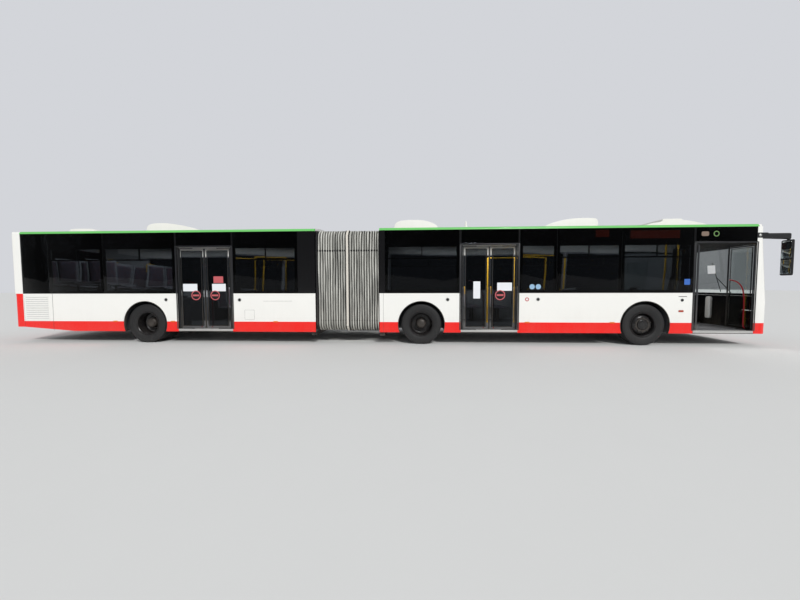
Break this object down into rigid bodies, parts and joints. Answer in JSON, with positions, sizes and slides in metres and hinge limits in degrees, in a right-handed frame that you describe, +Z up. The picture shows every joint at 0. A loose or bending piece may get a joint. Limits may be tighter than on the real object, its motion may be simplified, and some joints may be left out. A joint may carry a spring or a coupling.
{
  "type": "articulated city bus",
  "caption": "Low-floor city bus in two hollow sections joined by a turntable and pleated bellows, with inward-swinging double doors and steered front wheels.",
  "frame": {"origin": "on the road below the centre of the whole vehicle's box, mirrors included", "axes": "+X towards the front of the bus, +Y to its left, +Z up"},
  "size_m": [18.4, 2.62, 3.025],
  "materials": {
    "body_white": "gloss white paint",
    "body_red": "gloss red paint",
    "unit_white": "satin off-white paint",
    "floor_grey": "matte floor covering",
    "lamp_clear": "clear lamp cover",
    "lamp_red": "red lamp cover",
    "glass": "clear laminated glass",
    "dark_glass": "tinted glass with black edges",
    "trim_grey": "grained plastic",
    "seat_fabric": "woven seat cloth",
    "handrail": "powder coated tube",
    "black_plastic": "matte black plastic",
    "chassis_black": "satin black paint",
    "axle_iron": "painted casting",
    "bellows_fabric": "coated fabric",
    "centre_aluminium": "satin",
    "tyre": "matte rubber",
    "rim_black": "satin black paint",
    "door_grey": "dark grey coated frame"
  },
  "bodies": {
    "front_section": {"front_right_wall": "body_white", "front_door_header": "body_white", "front_left_wall": "body_white", "front_roof": "body_white", "front_floor": "floor_grey", "front_wheel_boxes": "floor_grey", "front_mask": "body_white", "front_lamps": "lamp_clear", "windscreen": "glass", "front_side_glass": "dark_glass", "driver_cab": "trim_grey", "front_seats": "seat_fabric", "front_rails": "handrail", "front_roof_units": "unit_white", "mirrors": "black_plastic", "front_frame": "chassis_black", "front_axles": "axle_iron", "front_bellows": "bellows_fabric"},
    "centre_ring": {"centre_frame": "centre_aluminium"},
    "rear_section": {"rear_right_wall": "body_white", "rear_left_wall": "body_white", "rear_roof": "body_white", "rear_floor": "floor_grey", "rear_mask": "body_red", "rear_lamps": "lamp_red", "rear_glass": "dark_glass", "rear_seats": "seat_fabric", "rear_rails": "handrail", "rear_roof_units": "unit_white", "rear_frame": "chassis_black", "drive_axle": "axle_iron", "engine": "axle_iron", "rear_bellows": "bellows_fabric"},
    "engine_flap": {"engine_lid": "body_red"},
    "steer_left": {"knuckle_left": "axle_iron"},
    "steer_right": {"knuckle_right": "axle_iron"},
    "front_wheel_left": {"front_wheel_tyre_left": "tyre", "front_wheel_rim_left": "rim_black"},
    "front_wheel_right": {"front_wheel_tyre_right": "tyre", "front_wheel_rim_right": "rim_black"},
    "middle_wheel_left": {"middle_wheel_tyre_left": "tyre", "middle_wheel_rim_left": "rim_black"},
    "middle_wheel_right": {"middle_wheel_tyre_right": "tyre", "middle_wheel_rim_right": "rim_black"},
    "rear_wheel_left": {"rear_wheel_tyre_left": "tyre", "rear_wheel_rim_left": "rim_black"},
    "rear_wheel_right": {"rear_wheel_tyre_right": "tyre", "rear_wheel_rim_right": "rim_black"},
    "front_post_a": {"front_door_post_a": "chassis_black"},
    "front_leaf_a": {"front_door_leaf_a": "door_grey"},
    "front_post_b": {"front_door_post_b": "chassis_black"},
    "front_leaf_b": {"front_door_leaf_b": "door_grey"},
    "middle_post_a": {"middle_door_post_a": "chassis_black"},
    "middle_leaf_a": {"middle_door_leaf_a": "door_grey"},
    "middle_post_b": {"middle_door_post_b": "chassis_black"},
    "middle_leaf_b": {"middle_door_leaf_b": "door_grey"},
    "rear_post_a": {"rear_door_post_a": "chassis_black"},
    "rear_leaf_a": {"rear_door_leaf_a": "door_grey"},
    "rear_post_b": {"rear_door_post_b": "chassis_black"},
    "rear_leaf_b": {"rear_door_leaf_b": "door_grey"}
  },
  "joints": [
    {"name": "articulation", "type": "hinge", "parent": "front_section", "child": "rear_section", "pos_m": [-0.7835, 0, 0.27], "axis": [0, 0, 1], "range_deg": [-47, 47], "deforming": ["front_bellows", "rear_bellows"]},
    {"name": "centre_ring_swing", "type": "hinge", "parent": "front_section", "child": "centre_ring", "pos_m": [-0.7835, 0, 0.31], "axis": [0, 0, 1], "range_deg": [-23.5, 23.5]},
    {"name": "engine_flap_hinge", "type": "hinge", "parent": "rear_section", "child": "engine_flap", "pos_m": [-9.202, 0, 1.253], "axis": [0, 1, 0], "range_deg": [0, 75]},
    {"name": "steering_left", "type": "hinge", "parent": "front_section", "child": "steer_left", "pos_m": [6.08, 0.968, 0.478], "axis": [0, 0, 1], "range_deg": [-42, 42]},
    {"name": "steering_right", "type": "hinge", "parent": "front_section", "child": "steer_right", "pos_m": [6.08, -0.968, 0.478], "axis": [0, 0, 1], "range_deg": [-42, 42]},
    {"name": "front_wheel_spin_left", "type": "hinge", "parent": "steer_left", "child": "front_wheel_left", "pos_m": [6.08, 1.078, 0.478], "axis": [0, 1, 0], "continuous": true},
    {"name": "front_wheel_spin_right", "type": "hinge", "parent": "steer_right", "child": "front_wheel_right", "pos_m": [6.08, -1.078, 0.478], "axis": [0, 1, 0], "continuous": true},
    {"name": "middle_wheel_spin_left", "type": "hinge", "parent": "front_section", "child": "middle_wheel_left", "pos_m": [0.975, 0.923, 0.478], "axis": [0, 1, 0], "continuous": true},
    {"name": "middle_wheel_spin_right", "type": "hinge", "parent": "front_section", "child": "middle_wheel_right", "pos_m": [0.975, -0.923, 0.478], "axis": [0, 1, 0], "continuous": true},
    {"name": "rear_wheel_spin_left", "type": "hinge", "parent": "rear_section", "child": "rear_wheel_left", "pos_m": [-5.795, 0.923, 0.478], "axis": [0, 1, 0], "continuous": true},
    {"name": "rear_wheel_spin_right", "type": "hinge", "parent": "rear_section", "child": "rear_wheel_right", "pos_m": [-5.795, -0.923, 0.478], "axis": [0, 1, 0], "continuous": true},
    {"name": "front_door_a", "type": "hinge", "parent": "front_section", "child": "front_post_a", "pos_m": [8.506, -1.215, 0.4], "axis": [0, 0, 1], "range_deg": [0, 84]},
    {"name": "front_leaf_a_pivot", "type": "hinge", "parent": "front_post_a", "child": "front_leaf_a", "pos_m": [8.47114, -0.88333, 0.4], "axis": [0, 0, 1], "range_deg": [-168, 0]},
    {"name": "front_door_b", "type": "hinge", "parent": "front_section", "child": "front_post_b", "pos_m": [7.162, -1.215, 0.4], "axis": [0, 0, 1], "range_deg": [-84, 0]},
    {"name": "front_leaf_b_pivot", "type": "hinge", "parent": "front_post_b", "child": "front_leaf_b", "pos_m": [7.19686, -0.88333, 0.4], "axis": [0, 0, 1], "range_deg": [0, 168]},
    {"name": "middle_door_a", "type": "hinge", "parent": "front_section", "child": "middle_post_a", "pos_m": [3.183, -1.215, 0.4], "axis": [0, 0, 1], "range_deg": [-84, 0]},
    {"name": "middle_leaf_a_pivot", "type": "hinge", "parent": "middle_post_a", "child": "middle_leaf_a", "pos_m": [2.87075, -1.215, 0.4], "axis": [0, 0, 1], "range_deg": [0, 168]},
    {"name": "middle_door_b", "type": "hinge", "parent": "front_section", "child": "middle_post_b", "pos_m": [1.924, -1.215, 0.4], "axis": [0, 0, 1], "range_deg": [0, 84]},
    {"name": "middle_leaf_b_pivot", "type": "hinge", "parent": "middle_post_b", "child": "middle_leaf_b", "pos_m": [2.23625, -1.215, 0.4], "axis": [0, 0, 1], "range_deg": [-168, 0]},
    {"name": "rear_door_a", "type": "hinge", "parent": "rear_section", "child": "rear_post_a", "pos_m": [-3.616, -1.215, 0.4], "axis": [0, 0, 1], "range_deg": [-84, 0]},
    {"name": "rear_leaf_a_pivot", "type": "hinge", "parent": "rear_post_a", "child": "rear_leaf_a", "pos_m": [-3.94175, -1.215, 0.4], "axis": [0, 0, 1], "range_deg": [0, 168]},
    {"name": "rear_door_b", "type": "hinge", "parent": "rear_section", "child": "rear_post_b", "pos_m": [-4.929, -1.215, 0.4], "axis": [0, 0, 1], "range_deg": [0, 84]},
    {"name": "rear_leaf_b_pivot", "type": "hinge", "parent": "rear_post_b", "child": "rear_leaf_b", "pos_m": [-4.60325, -1.215, 0.4], "axis": [0, 0, 1], "range_deg": [-168, 0]}
  ],
  "couplings": [
    {"joint": "centre_ring_swing", "follows": "articulation", "ratio": 0.5},
    {"joint": "steering_right", "follows": "steering_left", "ratio": 1},
    {"joint": "front_leaf_a_pivot", "follows": "front_door_a", "ratio": -2},
    {"joint": "front_door_b", "follows": "front_door_a", "ratio": -1},
    {"joint": "front_leaf_b_pivot", "follows": "front_door_a", "ratio": 2},
    {"joint": "middle_leaf_a_pivot", "follows": "middle_door_a", "ratio": -2},
    {"joint": "middle_door_b", "follows": "middle_door_a", "ratio": -1},
    {"joint": "middle_leaf_b_pivot", "follows": "middle_door_a", "ratio": 2},
    {"joint": "rear_leaf_a_pivot", "follows": "rear_door_a", "ratio": -2},
    {"joint": "rear_door_b", "follows": "rear_door_a", "ratio": -1},
    {"joint": "rear_leaf_b_pivot", "follows": "rear_door_a", "ratio": 2}
  ]
}
